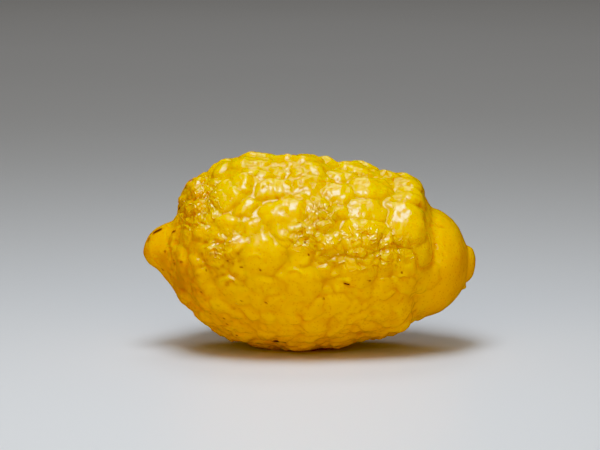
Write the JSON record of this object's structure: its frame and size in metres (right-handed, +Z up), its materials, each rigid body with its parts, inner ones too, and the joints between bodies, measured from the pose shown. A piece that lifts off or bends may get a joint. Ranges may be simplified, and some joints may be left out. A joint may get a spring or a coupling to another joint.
{
  "type": "citron",
  "caption": "Whole fingerless citron fruit lying on its side: a glossy, knobbly yellow rind with a small nub at one end and a smooth dome with a round stem button at the other.",
  "frame": {"origin": "on the surface that the fruit lies on, under the middle of its box", "axes": "+X along the fruit from the nub to the stem button, -Y towards the side that the picture shows, +Z up"},
  "size_m": [0.1296, 0.0806, 0.0776],
  "materials": {
    "rind": "glossy waxy citrus rind"
  },
  "bodies": {
    "root": {"citron": "rind"}
  },
  "joints": []
}
